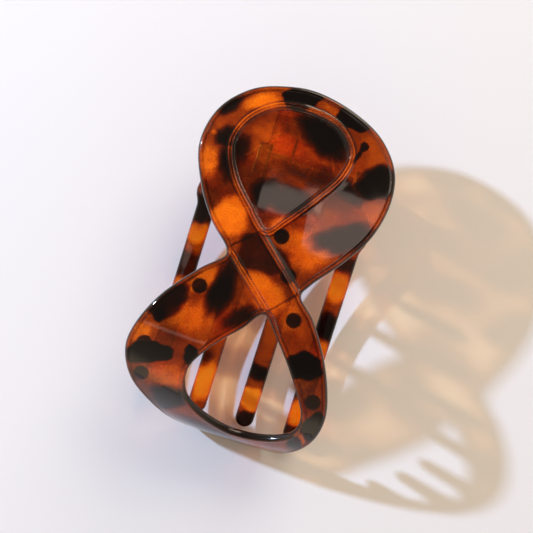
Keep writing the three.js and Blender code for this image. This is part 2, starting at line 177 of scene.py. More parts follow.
# Patches of colour in the plastic: x, y, half-length across, half-length along, turn in degrees,
# width of the soft edge, strength.
SHELL_DARK = [
    (-4.1, 47.5, 5.2, 3.2, 12, 0.8, 1), (11, 46.1, 4.2, 2.8, -12, 0.8, 1),
    (-20.2, 31, 3.2, 2.9, 18, 3, 0.7), (-18.2, 24.7, 4.3, 2, -78, 3, 0.8),
    (23.3, 31.5, 5.7, 4.6, 18, 2.5, 0.95), (5.3, 39.1, 7, 4.3, -18, 4, 0.9),
    (-5.9, 19.4, 4.1, 3.2, -92, 3, 0.85), (0.7, 19.3, 6.3, 3.2, -2, 3, 0.8),
    (17.9, 13.7, 7.4, 3.5, 28, 3, 0.85), (-1.4, 2.8, 7, 5, -2, 1.5, 0.42),
    (-9.4, -9.5, 8.3, 2.7, -94, 2.5, 0.85), (-22.5, -17, 6, 3.8, 38, 2, 0.75),
    (-23.5, -32, 6, 3.2, 18, 0.8, 1), (-11.9, -29.1, 2.5, 2, -52, 0.8, 0.95),
    (-14.3, -42.3, 5.6, 2.5, 8, 2.5, 0.85), (18.1, -23, 5.3, 3.9, 2, 1, 0.95),
    (26.2, -38.4, 3.9, 2.9, -92, 1, 0.95), (-23, 39.7, 3.8, 1.8, 48, 2.5, 0.85),
    (16.4, 39.8, 1.4, 1.1, 48, 0.4, 0.7), (15.4, 36.8, 2.1, 0.6, 68, 0.4, 0.6),
    (15.7, 26.6, 3.9, 2.2, -12, 2.5, 0.6), (-2.3, -15.4, 4.9, 2, 42, 2.5, 0.6),
    (-16, 29.4, 2.4, 3.5, 18, 3, 0.55), (1.2, -49.6, 9.8, 1.8, -8, 2.5, 0.5),
    # The first patch on the next line is painted shade: a faint dark band on the panel over the spring
    # beneath it.
    (4.4, 28.4, 8.4, 3, 2, 2, 0.17), (-23.6, -21.1, 1.8, 1.8, 18, 1, 0.9),
]
SHELL_BRIGHT = [
    (-8, 30.8, 4.6, 3.2, 18, 3, 0.35),
    (-24.4, 31.3, 0.7, 0.7, 0, 0.4, 0.8),
    (-14.2, 43.3, 5, 2.2, 28, 2, 1), (-23.6, 23, 2.7, 3.9, 18, 3, 0.9), (-13.3, 10.1, 5, 6, -2, 2.5, 1),
    (2.8, -7.1, 6, 4.2, -32, 3, 0.95), (9.6, 7.4, 6, 5.3, 18, 4, 0.75), (-14.3, -7.5, 6, 2.5, 42, 3, 0.9),
    (-15, -19.4, 5.6, 4.6, 18, 4, 0.75), (-15.5, -36.5, 7.7, 2.9, 18, 3, 0.65),
    (-27.3, -27, 3.2, 2.2, 62, 2, 0.85), (23.9, -42.4, 2.3, 2, 18, 1.5, 0.8),
    (-0.4, 12.3, 2.2, 1.3, 58, 1.5, 0.8), (-9.6, 35.8, 3.9, 3.4, 18, 3, 0.35),
    (10, -10.1, 2.8, 4.2, 18, 3, 0.35), (22.7, 21.8, 3.5, 4.9, -42, 4, 0.3),
    (5.4, 46.4, 4.2, 1.4, -18, 2, 0.5),
]
COMB_DARK = [
    (-21.3, 11.5, 4, 5, 0, 4, 0.75), (-21.3, -6, 4, 4, 20, 3, 0.5), (-21.3, -26, 4, 4, 0, 3, 0.7),
    (-21.3, -43, 4, 3.5, 0, 2, 0.6), (-6.7, -8, 4, 6, 0, 4, 0.55), (-8, -30, 1.6, 3, -15, 2, 0.4),
    (7.6, -29.5, 4, 1.9, 0, 2, 0.7), (7.6, -44, 4, 2.6, 0, 1.5, 0.65), (7.6, -3, 4, 6, 0, 4, 0.5),
    (21.9, 7.6, 4, 2.4, 10, 3, 0.55), (21.9, -11.2, 4, 3.4, 15, 3, 0.75), (21.9, -28, 4, 4, 0, 4, 0.6),
    (21.9, -44, 4, 3, 0, 2, 0.6), (-8, 22, 9, 5, 20, 4, 0.7), (12, 25, 6, 5, -20, 4, 0.8),
    (2, 42, 7, 4, 10, 3, 0.8),
]
# Partly the plastic's own amber, partly painted light: these patches are made strong so the tines look lit
# by the lamp.
COMB_AMBER_AND_LIT = [
    (-21, 3.8, 4, 3, 0, 2, 1.2), (-21, -15, 4, 5, 0, 3, 1.0), (-21, -35, 4, 4, 0, 2.5, 1.2),
    (-6, -36, 4, 5, 0, 2.5, 1.2), (-6.7, -20, 4, 4, 0, 3, 0.9), (7.6, -37.2, 4, 3.4, 0, 1.5, 1.4),
    (21.9, 0.6, 4, 4, 0, 2.5, 1.2), (21.9, -20, 4, 4, 0, 3, 1.0), (21.9, -37, 4, 4, 0, 2.5, 1.2),
    (2, 17, 8, 3, 0, 3, 0.9), (-4, 35, 5, 3, 20, 3, 1.0),
]


# ---- Curves and profiles ----
def smooth(value, low, high):
    """The cubic step: 0 below low, 1 above high, 3t^2 - 2t^3 between."""
    t = np.clip((value - low) / (high - low), 0, 1)
    return t * t * (3 - 2 * t)


def spline(points, count, closed):
    """A centripetal Catmull-Rom curve: between two points a cubic whose end slopes come from the
    points either side, each step weighted by the square root of its length."""
    p = np.asarray(points, float)
    if closed:
        ring = np.concatenate([p[-1:], p, p[:2]])
    else:
        ring = np.concatenate([2 * p[:1] - p[1:2], p, 2 * p[-1:] - p[-2:-1]])
    pieces = len(ring) - 3
    t = np.linspace(0, pieces, count, endpoint=not closed)
    k = np.minimum(t.astype(int), pieces - 1)
    t = (t - k)[:, None]
    p0, p1, p2, p3 = ring[k], ring[k + 1], ring[k + 2], ring[k + 3]
    d0, d1, d2 = (np.sqrt(np.linalg.norm(b - a, axis=1))[:, None] for a, b in ((p0, p1), (p1, p2), (p2, p3)))
    slope1 = ((p1 - p0) / d0 - (p2 - p0) / (d0 + d1) + (p2 - p1) / d1) * d1
    slope2 = ((p2 - p1) / d1 - (p3 - p1) / (d1 + d2) + (p3 - p2) / d2) * d1
    return (
        (2 * t**3 - 3 * t**2 + 1) * p1
        + (t**3 - 2 * t**2 + t) * slope1
        + (3 * t**2 - 2 * t**3) * p2
        + (t**3 - t**2) * slope2
    )


class Profile:
    """A side view (y, z) as a run of evenly spaced points, eased over a few millimetres."""

    STEP = 0.1

    def __init__(self, points, ease):
        length = np.concatenate([[0], np.cumsum(np.linalg.norm(np.diff(points, axis=0), axis=1))])
        self.length = length[-1]
        reach = 4 * ease
        along = np.arange(-reach, self.length + reach, self.STEP)
        inner = np.clip(along, 0, self.length)
        even = np.stack([np.interp(inner, length, points[:, i]) for i in (0, 1)], 1)
        first = points[1] - points[0]
        last = points[-1] - points[-2]
        even += np.minimum(along, 0)[:, None] * first / np.linalg.norm(first)
        even += np.maximum(along - self.length, 0)[:, None] * last / np.linalg.norm(last)
        window = np.exp(-0.5 * (np.arange(-3 * ease, 3 * ease + self.STEP, self.STEP) / ease) ** 2)
        window /= window.sum()
        eased = np.stack([np.convolve(even[:, i], window, "same") for i in (0, 1)], 1)
        edge = (along > -ease) & (along < self.length + ease)
        self.along = along[edge]
        self.point = eased[edge]
        slope = np.gradient(self.point, self.along, axis=0)
        self.slope = slope / np.linalg.norm(slope, axis=1)[:, None]

    def at(self, along):
        """Point and direction at a distance along, run on straight past both ends."""
        inner = np.clip(along, self.along[0], self.along[-1])
        y, z = (np.interp(inner, self.along, self.point[:, i]) for i in (0, 1))
        dy, dz = (np.interp(inner, self.along, self.slope[:, i]) for i in (0, 1))
        return y + (along - inner) * dy, z + (along - inner) * dz, dy, dz


def shell_side():
    """A squared ellipse from the rim to the crest, then a fall that grows as a power of the distance."""
    turn = np.linspace(math.pi / 2, 0, 2000)
    power = 2 / CURL_POWER
    curl = np.stack(
        [CREST_Y + (RIM_Y - CREST_Y) * np.sin(turn) ** power, CREST_Z * np.cos(turn).clip(0) ** power], 1
    )
    t = np.linspace(0, 1, 600)[1:]
    fall = np.stack(
        [CREST_Y + (PRESSED_END_Y - CREST_Y) * t, CREST_Z - FALL_TO_END * t**FALL_POWER], 1
    )
    return Profile(np.concatenate([curl, fall]), SHELL_EASE)


def comb_side():
    """The comb's line from the tine tips to its back, run on straight down the thumb pad."""
    back = spline(COMB_LINE, 600, False)
    tilt = math.radians(PAD_FALL)
    tongue = back[-1] + np.outer(np.linspace(0, PAD_LENGTH + 1, 60)[1:], (math.cos(tilt), -math.sin(tilt)))
    return Profile(np.concatenate([back, tongue]), COMB_EASE)


SHELL_SIDE = shell_side()
COMB_SIDE = comb_side()


def on_shell(x, along, height):
    """Row-frame place of a point on the shell: along its side view, off its face by height, with the
    sides dropping as the square of the distance from the middle line."""
    y, z, dy, dz = SHELL_SIDE.at(along)
    lean = FRONT_LEAN * (1 - smooth(along, 0, SHELL_SIDE.length / 2))
    lift = height - SIDE_DROOP * ((x - lean) / HALF_WIDTH) ** 2
    return np.stack([x + SHIFT_X, y - dz * lift, z + dy * lift], -1)


def on_comb(x, along, height):
    """Row-frame place of a point on the comb: along its side view and off its face by height."""
    y, z, dy, dz = COMB_SIDE.at(along)
    return np.stack([x + SHIFT_X, y - dz * height, z + dy * height], -1)


def along_at(place, side, x, y, height=0.0):
    """Distance along at which place() lands on y, by halving."""
    x, y = np.broadcast_arrays(np.asarray(x, float), np.asarray(y, float))
    low = np.zeros(x.shape)
    high = np.full(x.shape, side.length + 2)
    for _ in range(40):
        middle = (low + high) / 2
        under = place(x, middle, height)[..., 1] < y
        low = np.where(under, middle, low)
        high = np.where(under, high, middle)
    return low


def flat_loop(points, count):
    """A smooth closed outline through plan points, laid flat on the shell: x and distance along."""
    plan = np.asarray(points, float)
    laid = np.stack([plan[:, 0], along_at(on_shell, SHELL_SIDE, plan[:, 0], plan[:, 1])], 1)
    loop = spline(laid, count, True)
    return np.stack([loop[:, 0], loop[:, 1].clip(0)], 1)


# ---- Signed distances, positive inside ----
def loop_distance(at, loop):
    """Distance to the nearest straight piece of the loop, positive where a ray to the right crosses
    the loop an odd number of times."""
    best = np.full(len(at), np.inf)
    inside = np.zeros(len(at), bool)
    for a, b in zip(loop, np.roll(loop, -1, 0)):
        edge = b - a
        size = edge @ edge
        if size < 1e-12:
            continue
        off = at - a
        t = ((off @ edge) / size).clip(0, 1)
        best = np.minimum(best, ((off - t[:, None] * edge) ** 2).sum(1))
        if a[1] != b[1]:
            crosses = (a[1] > at[:, 1]) != (b[1] > at[:, 1])
            reach = a[0] + (at[:, 1] - a[1]) / edge[1] * edge[0]
            inside ^= crosses & (at[:, 0] < reach)
    return np.where(inside, 1, -1) * np.sqrt(best)


def box_distance(at, centre, half, corner):
    """Distance to a rectangle with round corners."""
    q = np.abs(at - np.asarray(centre, float)) - (np.asarray(half, float) - corner)
    return corner - np.linalg.norm(q.clip(0), axis=1) - np.minimum(q.max(1), 0)


def blend_max(a, b, width):
    """The larger of two distances, with the inside corner between them filled over a width."""
    t = (width - np.abs(a - b)).clip(0) / width
    return np.maximum(a, b) + t * t * width / 4


# ---- The moulded skin ----
def cut_cells(distance, box, cell):
    """A grid cut along distance = 0: each cell keeps the part where the distance is positive, and the
    cut crosses a cell's side where the distance runs through zero. Returns points and polygons."""
    (u0, u1), (v0, v1) = box
    nu = int(math.ceil((u1 - u0) / cell)) + 1
    nv = int(math.ceil((v1 - v0) / cell)) + 1
    u, v = np.meshgrid(np.linspace(u0, u1, nu), np.linspace(v0, v1, nv), indexing="ij")
    at = np.stack([u.ravel(), v.ravel()], 1)
    d = distance(at)
    d = np.where(np.abs(d) < 0.02 * cell, 0.02 * cell, d)
    corner = np.arange(nu * nv).reshape(nu, nv)

    def crossings(a, b):
        t = (d[a] / (d[a] - d[b] + 1e-30)).clip(0, 1)[:, None]
        return at[a] + t * (at[b] - at[a])

    across_a, across_b = corner[:-1].ravel(), corner[1:].ravel()
    up_a, up_b = corner[:, :-1].ravel(), corner[:, 1:].ravel()
    points = np.concatenate([at, crossings(across_a, across_b), crossings(up_a, up_b)])
    across = nu * nv + np.arange(len(across_a)).reshape(nu - 1, nv)
    up = nu * nv + len(across_a) + np.arange(len(up_a)).reshape(nu, nv - 1)
    corners = [corner[:-1, :-1], corner[1:, :-1], corner[1:, 1:], corner[:-1, 1:]]
    sides = [across[:, :-1], up[1:], across[:, 1:], up[:-1]]
    corners = np.stack([c.ravel() for c in corners], 1)
    sides = np.stack([s.ravel() for s in sides], 1)
    inside = d[corners] > 0
    polygons = []
    for case in range(1, 16):
        bits = [bool(case >> k & 1) for k in range(4)]
        cells = (inside == bits).all(1)
        if not cells.any():
            continue
        walk = []
        for k in range(4):
            if bits[k]:
                walk.append(corners[cells, k])
            if bits[k] != bits[(k + 1) % 4]:
                walk.append(sides[cells, k])
        polygons.append(np.stack(walk, 1))
    return points, polygons


def skin(distance, place, box, cell, out, top, bottom, steps=8):
    """A closed moulded wall. Its two faces are the cut grid at the top and bottom heights, and its
    edge is half an ellipse that swells outwards by out between them. Also returns the flat place of
    each vertex."""
    points, polygons = cut_cells(lambda at: distance(at) - out, box, cell)
    pairs = np.concatenate(
        [np.stack([p[:, k], p[:, (k + 1) % p.shape[1]]], 1) for p in polygons for k in range(p.shape[1])]
    )
    keys = pairs.min(1) * len(points) + pairs.max(1)
    _, first, uses = np.unique(keys, return_index=True, return_counts=True)
    rim_edges = pairs[first[uses == 1]]
    rim = np.unique(rim_edges)
    step = 0.05
    slope = np.stack(
        [
            distance(points[rim] + (step, 0)) - distance(points[rim] - (step, 0)),
            distance(points[rim] + (0, step)) - distance(points[rim] - (0, step)),
        ],
        1,
    )
    slope /= np.linalg.norm(slope, axis=1)[:, None] + 1e-12
    used = np.unique(np.concatenate([p.ravel() for p in polygons]))
    flat = points[used]
    high, low = top(flat), bottom(flat)
    count = len(used)
    where = np.zeros(len(points), int)
    where[used] = np.arange(count)
    parts = [place(flat[:, 0], flat[:, 1], high), place(flat[:, 0], flat[:, 1], low)]
    plan = [flat, flat]
    centre, half = (high + low) / 2, (high - low) / 2
    ring = where[rim]
    for k in range(1, steps):
        turn = math.pi * k / steps
        swollen = flat[ring] - slope * out * math.sin(turn)
        height = centre[ring] + half[ring] * math.cos(turn)
        parts.append(place(swollen[:, 0], swollen[:, 1], height))
        plan.append(swollen)
    vertices = np.concatenate(parts)
    rings = [ring]
    rings += [2 * count + k * len(ring) + np.arange(len(ring)) for k in range(steps - 1)]
    rings.append(ring + count)
    order = np.zeros(len(points), int)
    order[rim] = np.arange(len(rim))
    a, b = order[rim_edges[:, 0]], order[rim_edges[:, 1]]
    faces = []
    for p in polygons:
        top_faces = where[p]
        faces += [top_faces, top_faces[:, ::-1] + count]
    for upper, lower in zip(rings[:-1], rings[1:]):
        faces.append(np.stack([upper[b], upper[a], lower[a], lower[b]], 1))
    return vertices, faces, np.concatenate(plan)


def grid_faces(rows, columns, wrap):
    """Quads of a grid, rows by columns, closed round the columns if wrap."""
    index = np.arange(rows * columns).reshape(rows, columns)
    after = np.roll(index, -1, 1)
    last = columns if wrap else columns - 1
    quads = np.stack([index[:-1], after[:-1], after[1:], index[1:]], -1)
    return quads[:, :last].reshape(-1, 4)


def mesh_object(name, vertices, faces, marks=None):
    """A smooth-shaded object from arrays in millimetres; marks are named numbers for each vertex."""
    mesh = bpy.data.meshes.new(name)
    loops = np.concatenate([f.ravel() for f in faces])
    sizes = np.concatenate([np.full(len(f), f.shape[1]) for f in faces])
    mesh.vertices.add(len(vertices))
    mesh.vertices.foreach_set("co", (vertices * MM).astype(np.float32).ravel())
    mesh.loops.add(len(loops))
    mesh.loops.foreach_set("vertex_index", loops.astype(np.int32))
    mesh.polygons.add(len(sizes))
    mesh.polygons.foreach_set("loop_start", np.concatenate([[0], np.cumsum(sizes)[:-1]]).astype(np.int32))
    mesh.polygons.foreach_set("use_smooth", np.ones(len(sizes), bool))
    mesh.update(calc_edges=True)
    mesh.validate()
    for mark, values in (marks or {}).items():
        attribute = mesh.attributes.new(mark, "FLOAT", "POINT")
        attribute.data.foreach_set("value", values.astype(np.float32))
    thing = bpy.data.objects.new(name, mesh)
    bpy.context.scene.collection.objects.link(thing)
    return thing


def patches(vertices, marks, wavy=1.0):
    """How far inside a patch each vertex is, in plan: 0 outside and the patch's strength inside, with
    slow waves pushing its outline in and out and a soft step across its edge."""
    value = np.zeros(len(vertices))
    for number, (x, y, across, along, turn, soft, strength) in enumerate(marks):
        c, s = math.cos(math.radians(turn)), math.sin(math.radians(turn))
        dx, dy = vertices[:, 0] - x - SHIFT_X, vertices[:, 1] - y
        u, v = (dx * c + dy * s) / across, (dy * c - dx * s) / along
        around = np.arctan2(v, u)
        waves = 0.1 * np.sin(2 * around + 1.7 * number) + 0.09 * np.sin(3 * around + 2.3 * number)
        waves += 0.05 * np.sin(7 * around + number)
        inside = (1 + wavy * waves - np.hypot(u, v)) * min(across, along)
        value = np.maximum(value, strength * smooth(inside, -soft / 2, soft / 2))
    return value


# ---- Materials ----
# The plastic's clouds, its streaks and the fine grain that sparkles in it: size in millimetres, detail,
# roughness, distortion, and how much of the depth of colour each makes.
NOISES = ((11, 3.0, 0.5, 0.5, 0.4), (3, 3.0, 0.6, 0.0, 0.2), (0.4, 2.0, 0.7, 0.0, 0.34))
RIPPLE_MM = 14
# How much deeper in colour the plastic is drawn at a full mark of each kind. The wall mark is painted shade
# along edges seen edge-on; on the shell the bright mark also holds painted highlights on the ridges' crests.
MARK_GAINS = (("dark", 0.6), ("bright", -0.27), ("wall", 0.45))
# How much light goes through, against depth of colour: milky amber, clear brown, then opaque blotches.
CLEARNESS = ((0.05, 0.45), (0.3, 0.6), (0.6, 0.85), (0.9, 0.1))
# Its tones against depth of colour, between which the amber and the blotch colours come from the settings.
BODY_TONES = (
    (0.02, "#FFA01E"), (0.17, "#FF8210"), (0.46, "#A43C09"), (0.62, "#5C1C09"), (0.78, "#240C07"),
)
# The tint of the light that has come through it.
PASSED_TINTS = ((0.05, "#FBE6C4"), (0.35, "#EDC08C"), (0.6, "#B07448"), (0.82, "#3A2218"))
SUM_OF = {"operation": "MULTIPLY_ADD"}


def linear(colour):
    """An sRGB hex colour as linear red, green, blue, alpha."""
    parts = [int(colour[i : i + 2], 16) / 255 for i in (1, 3, 5)]
    return [c / 12.92 if c <= 0.04045 else ((c + 0.055) / 1.055) ** 2.4 for c in parts] + [1.0]


def add(tree, kind, settings=None, stops=(), **sockets):
    """Adds a node, sets its properties and colour stops, and sets or links each named input."""
    made = tree.nodes.new(kind)
    for key, value in (settings or {}).items():
        setattr(made, key, value)
    if stops:
        elements = made.color_ramp.elements
        while len(elements) < len(stops):
            elements.new(0.5)
        for element, (position, colour) in zip(elements, stops):
            element.position = position
            element.color = colour
    for key, value in sockets.items():
        name = key.replace("_", " ")
        socket = made.inputs[int(name[1:])] if name[0] == "i" and name[1:].isdigit() else made.inputs[name]
        if isinstance(value, bpy.types.NodeSocket):
            tree.links.new(value, socket)
        else:
            socket.default_value = value
    return made


def empty_material(name):
    """A material with no shader yet, its node tree, and the output that gives each point's place."""
    material = bpy.data.materials.new(name)
    material.use_nodes = True
    tree = material.node_tree
    tree.nodes.clear()
    return material, tree, add(tree, "ShaderNodeTexCoord").outputs["Object"]


def tortoiseshell(name, seed, depth=0.0):
    """Moulded acetate, block-coloured and polished: clear amber full of fine bright grain, with brown
    clouds and near-black blotches sunk in it, and painted shade darkening it along every moulded wall."""
    material, tree, place = empty_material(name)
    shift = (seed, seed * 0.7, 0)
    moved = add(tree, "ShaderNodeVectorMath", {"operation": "ADD"}, i0=place, i1=shift).outputs[0]
    amounts = []
    for size_mm, detail, roughness, distortion, gain in NOISES:
        noise = add(
            tree,
            "ShaderNodeTexNoise",
            Vector=moved,
            Scale=1 / (size_mm * MM),
            Detail=detail,
            Roughness=roughness,
            Distortion=distortion,
        )
        amounts.append((noise.outputs["Fac"], gain))
    marks = {}
    for mark, gain in MARK_GAINS:
        marks[mark] = add(tree, "ShaderNodeAttribute", {"attribute_name": mark}).outputs["Fac"]
        amounts.append((marks[mark], gain))
    for amount, gain in amounts:
        depth = add(tree, "ShaderNodeMath", SUM_OF, i0=amount, i1=gain, i2=depth).outputs[0]
    colours = bpy.context.scene.claw_clip_colours
    tones = [(position, linear(colour)) for position, colour in BODY_TONES]
    tones += [(0.32, [*colours.amber, 1]), (0.95, [*colours.blotch, 1])]
    body = add(tree, "ShaderNodeValToRGB", stops=sorted(tones), Fac=depth).outputs["Color"]
    greys = [(position, (share, share, share, 1)) for position, share in CLEARNESS]
    clear = add(tree, "ShaderNodeValToRGB", stops=greys, Fac=depth).outputs["Color"]
    ripple = add(tree, "ShaderNodeTexNoise", Vector=place, Scale=1 / (RIPPLE_MM * MM), Detail=1.0)
    bump = add(tree, "ShaderNodeBump", Strength=0.12, Distance=0.0006, Height=ripple.outputs["Fac"])
    streaks = amounts[1][0]
    gloss = add(tree, "ShaderNodeMapRange", Value=streaks, To_Min=0.02, To_Max=0.06).outputs[0]
    softer = add(tree, "ShaderNodeMath", SUM_OF, i0=marks["wall"], i1=0.1, i2=gloss)
    shader = add(
        tree,
        "ShaderNodeBsdfPrincipled",
        Base_Color=body,
        Transmission_Weight=clear,
        Roughness=softer.outputs[0],
        IOR=1.49,
        Coat_Weight=0.1,
        Coat_Roughness=0.02,
        Normal=bump.outputs[0],
    )
    # Light that passes through a wall comes out tinted, and is stopped by the blotches.
    tints = [(position, linear(colour)) for position, colour in PASSED_TINTS]
    stained = add(tree, "ShaderNodeValToRGB", stops=tints, Fac=depth).outputs["Color"]
    passed = add(tree, "ShaderNodeBsdfTransparent", Color=stained)
    shadow = add(tree, "ShaderNodeLightPath").outputs["Is Shadow Ray"]
    mixed = add(tree, "ShaderNodeMixShader", Fac=shadow, i1=shader.outputs[0], i2=passed.outputs[0])
    add(tree, "ShaderNodeOutputMaterial", Surface=mixed.outputs[0])
    return material


def drawn_steel(name, colour, rough, grain_mm):
    """Carbon steel wire, drawn and bright-plated: fine scratches all over it blur its highlights."""
    material, tree, place = empty_material(name)
    scratch = add(tree, "ShaderNodeTexNoise", Vector=place, Scale=1 / (grain_mm * MM), Detail=3.0)
    tones = [(0.3, linear("#8E8A86")), (0.7, linear(colour))]
    tone = add(tree, "ShaderNodeValToRGB", stops=tones, Fac=scratch.outputs["Fac"]).outputs["Color"]
    gloss = add(tree, "ShaderNodeMapRange", Value=scratch.outputs["Fac"])
    gloss.inputs["To Min"].default_value = rough * 0.7
    gloss.inputs["To Max"].default_value = rough * 1.4
    bump = add(tree, "ShaderNodeBump", Strength=0.15, Distance=0.0001, Height=scratch.outputs["Fac"])
    shader = add(
        tree,
        "ShaderNodeBsdfPrincipled",
        Base_Color=tone,
        Metallic=1.0,
        Roughness=gloss.outputs[0],
        Normal=bump.outputs[0],
    )
    add(tree, "ShaderNodeOutputMaterial", Surface=shader.outputs[0])
    return material


def painted_board(name, colour):
    """Matt painted board: even, pale and dry, with the faint orange-peel of a roller."""
    material, tree, place = empty_material(name)
    peel = add(tree, "ShaderNodeTexNoise", Vector=place, Scale=900.0, Detail=2.0)
    bump = add(tree, "ShaderNodeBump", Strength=0.03, Distance=0.0002, Height=peel.outputs["Fac"])
    paint = {"Base_Color": [*colour, 1], "Roughness": 0.75}
    shader = add(tree, "ShaderNodeBsdfPrincipled", Normal=bump.outputs[0], **paint)
    add(tree, "ShaderNodeOutputMaterial", Surface=shader.outputs[0])
    return material


def finish_piece(thing, material, body, slot, *nodes):
    """Gives a piece its material and its body, and hides the parts that it replaces; slot is not used."""
    thing.data.materials.append(material)
    if body:
        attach(thing, body)
    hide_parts(*nodes)


# ---- Settings ----
class ClawClipSizes(bpy.types.PropertyGroup):
    bead: bpy.props.FloatProperty(
        name="Edge bead",
        description="Height of the raised bead inside each edge",
        default=0.2 * MM,
        unit="LENGTH",
    )
    step: bpy.props.FloatProperty(
        name="Crossing step",
        description="How far one ribbon lies under the other",
        default=0.4 * MM,
        unit="LENGTH",
    )
    cell: bpy.props.FloatProperty(
        name="Cell", description="Size of the skin's cells", default=0.34 * MM, unit="LENGTH"
    )


class ClawClipColours(bpy.types.PropertyGroup):
    amber: bpy.props.FloatVectorProperty(
        name="Amber",
        description="Middle tone of the plastic",
        default=linear("#DC640E")[:3],
        subtype="COLOR",
    )
    blotch: bpy.props.FloatVectorProperty(
        name="Blotch",
        description="Darkest tone of the plastic",
        default=linear("#0C0606")[:3],
        subtype="COLOR",
    )
    floor: bpy.props.FloatVectorProperty(
        name="Floor",
        description="Colour of the board",
        default=linear("#F0EFF3")[:3],
        subtype="COLOR",
    )


def sizes_mm():
    sizes = bpy.context.scene.claw_clip_sizes
    return sizes.bead / MM, sizes.step / MM, sizes.cell / MM


# ---- Pieces ----
def peg_places():
    """Plan places of the pegs in the order they are numbered."""
    places = [MIDDLE_PEG]
    for left_y, left_x, right_y, right_x in PEG_PAIRS:
        places += [(left_x, left_y), (right_x, right_y)]
    return places


def line(value, place, width):
    """A soft line: 1 where the value is at its place, dying away over the width as a bell curve."""
    return np.exp(-(((value - place) / width) ** 2))


def line_sides(at, ends):
    """Distance along and to the left of a straight line between two points laid on the shell."""
    ends = np.asarray(ends, float)
    ends = np.stack([ends[:, 0], along_at(on_shell, SHELL_SIDE, ends[:, 0], ends[:, 1])], 1)
    run = ends[1] - ends[0]
    length = np.linalg.norm(run)
    run = run / length
    off = at - ends[0]
    return off @ run, off @ np.array((-run[1], run[0])), length


class MESH_OT_claw_clip_shell(bpy.types.Operator):
    """Moulds the figure-eight upper jaw with its recessed panel and crossing ribbons"""

    bl_idname = "mesh.claw_clip_shell"
    bl_label = "Shell moulding"

    def execute(self, context):
        bead_height, step_height, cell = sizes_mm()
        edge = flat_loop(SHELL_EDGE, 420)
        hole = flat_loop(LOWER_LOOP_HOLE, 220)
        loop = flat_loop(UPPER_LOOP_EDGE, 200)

        def distance(at):
            return np.minimum(loop_distance(at, edge), -loop_distance(at, hole))

        def beside(at, ends, side):
            """How far to one side of a line, and a window that dies away past its ends."""
            along, left, length = line_sides(at, ends)
            return left * side, smooth(along, -2, 0.5) * (1 - smooth(along, length - 0.5, length + 2))

        def top(at):
            """Beads just inside the edges, the panel's recess, and the steps where the ribbons cross."""
            d = distance(at)
            q = loop_distance(at, loop)
            height = bead_height * line(d, EDGE_RIDGE, EDGE_RIDGE_WIDTH)
            height -= EDGE_ROUND[0] * np.exp(-d.clip(0) / EDGE_ROUND[1])
            for place in LOOP_RIDGES:
                height += bead_height * line(q, place, RIDGE_WIDTH)
            height += PANEL_TOP * smooth(q, -0.1, 0.6)
            for crossing, side in ((CROSSING_RIGHT, 1), (CROSSING_LEFT, -1)):
                away, window = beside(at, crossing, side)
                window = window * smooth(-q, -0.3, 0.5)
                height -= step_height * window * smooth(away, 0, 0.5) * np.exp(-away.clip(0) / STEP_FADE)
                for place in CROSSING_RIDGES:
                    height += bead_height * window * line(away, place, RIDGE_WIDTH)
            return np.minimum(height, bead_height)

        def edge_shade_and_highlight(at):
            """Painted shade where the plastic is seen edge-on, and so looks deeper: the outer walls, the
            loop's step and the ribbons' edges. Beside it, painted highlights on the crests of the ridges,
            which catch the light."""
            d = distance(at)
            q = loop_distance(at, loop)
            wall = line(d.clip(0), 0, 0.5) + 0.35 * line(d, 1.35, 0.26)
            wall += 0.6 * line(q, 0.12, 0.28) + 0.5 * line(q, -1.5, 0.22) + 0.4 * line(q, -0.66, 0.2)
            crest_highlight = 0.4 * line(d, EDGE_RIDGE, 0.25)
            for place in LOOP_RIDGES:
                crest_highlight += 0.9 * line(q, place, 0.24)
            outside = smooth(-q, -0.3, 0.5)
            for crossing, side in ((CROSSING_RIGHT, 1), (CROSSING_LEFT, -1)):
                away, window = beside(at, crossing, side)
                window = window * outside
                for place, gain in ((0.2, 0.6), (-0.66, 0.4), (-1.5, 0.5)):
                    wall += window * gain * line(away, place, 0.22)
                for place in CROSSING_RIDGES:
                    crest_highlight += window * line(away, place, 0.24)
            for hidden in HIDDEN_EDGES:
                away, window = beside(at, hidden, 1)
                wall += 0.5 * outside * window * line(away, 0, 0.26)
            return wall.clip(0, 1), crest_highlight.clip(0, 1)

        def bottom(at):
            q = loop_distance(at, loop)
            return -SHELL_THICK + (PANEL_LOW + SHELL_THICK) * smooth(q, -0.4, 0.6)

        box = ((-31.5, 30), (-0.5, SHELL_SIDE.length + 1.5))
        vertices, faces, plan = skin(distance, on_shell, box, cell, SHELL_SWELL, top, bottom)
        vertices[:, 2] = vertices[:, 2].clip(0)
        wall, crest_highlight = edge_shade_and_highlight(plan)
        roots = [
            (x, y, PEG_ROOT_R, PEG_ROOT_R, 0, 0.4, depth)
            for (x, y), depth in zip(peg_places(), PEG_DEPTH)
        ]
        dark = np.maximum(patches(vertices, SHELL_DARK), patches(vertices, roots, 0))
        # Painted highlight: along each ridge's crest the plastic is drawn lighter and less dark. The wall
        # mark is painted shade along the edges.
        marks = {
            "dark": dark * (1 - 0.8 * crest_highlight),
            "bright": np.maximum(patches(vertices, SHELL_BRIGHT), 1.2 * crest_highlight),
            "wall": wall,
        }
        shell = mesh_object("shell_moulding", vertices, faces, marks)
        finish_piece(
            shell,
            tortoiseshell("acetate_shell", 0.0),
            "shell_jaw",
            "shell_plastic",
            "figure_eight_shell",
            "upper_loop_panel",
        )
        return {"FINISHED"}


